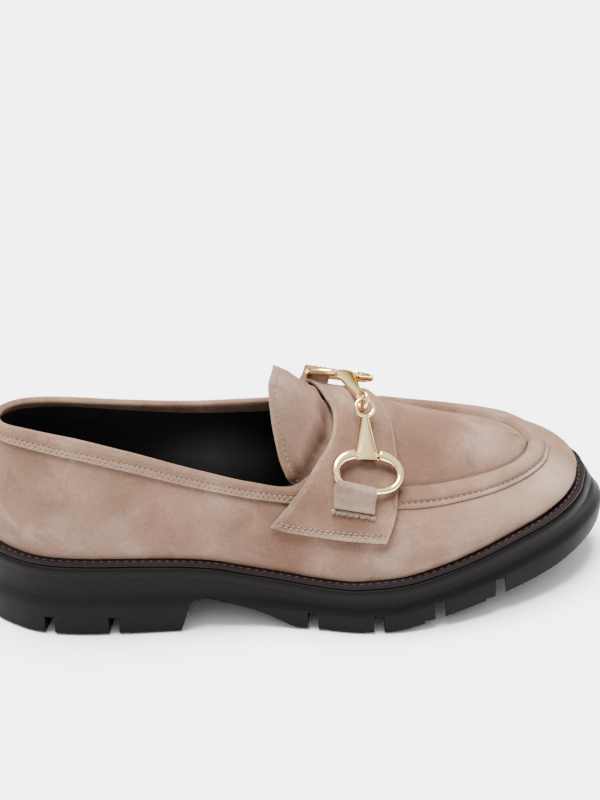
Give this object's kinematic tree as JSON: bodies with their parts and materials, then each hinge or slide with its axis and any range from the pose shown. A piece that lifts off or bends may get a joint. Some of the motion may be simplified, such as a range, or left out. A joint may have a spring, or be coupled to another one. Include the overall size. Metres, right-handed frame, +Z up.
{
  "type": "loafer",
  "caption": "Slip-on suede loafer for the right foot with an apron toe, a strap with a metal bit over the instep and a thick lugged rubber sole.",
  "frame": {"origin": "bottom centre of the bounding box, on the ground under the tread", "axes": "+X towards the toe, +Y towards the inner side of the foot, +Z up"},
  "size_m": [0.28, 0.106, 0.1085],
  "materials": {
    "sole_rubber": "satin black moulded rubber",
    "welt_leather": "dark brown waxed leather",
    "insole_leather": "smooth black lining leather",
    "suede": "brushed taupe suede",
    "gold_metal": "polished pale gold plating"
  },
  "bodies": {
    "root": {"outsole": "sole_rubber", "welt": "welt_leather", "insole": "insole_leather", "upper": "suede", "tongue": "suede", "saddle": "suede", "bit_ring_outer": "gold_metal", "bit_bar_outer": "gold_metal", "bit_ring_inner": "gold_metal", "bit_bar_inner": "gold_metal", "tab_outer": "suede", "tab_inner": "suede"}
  },
  "joints": []
}
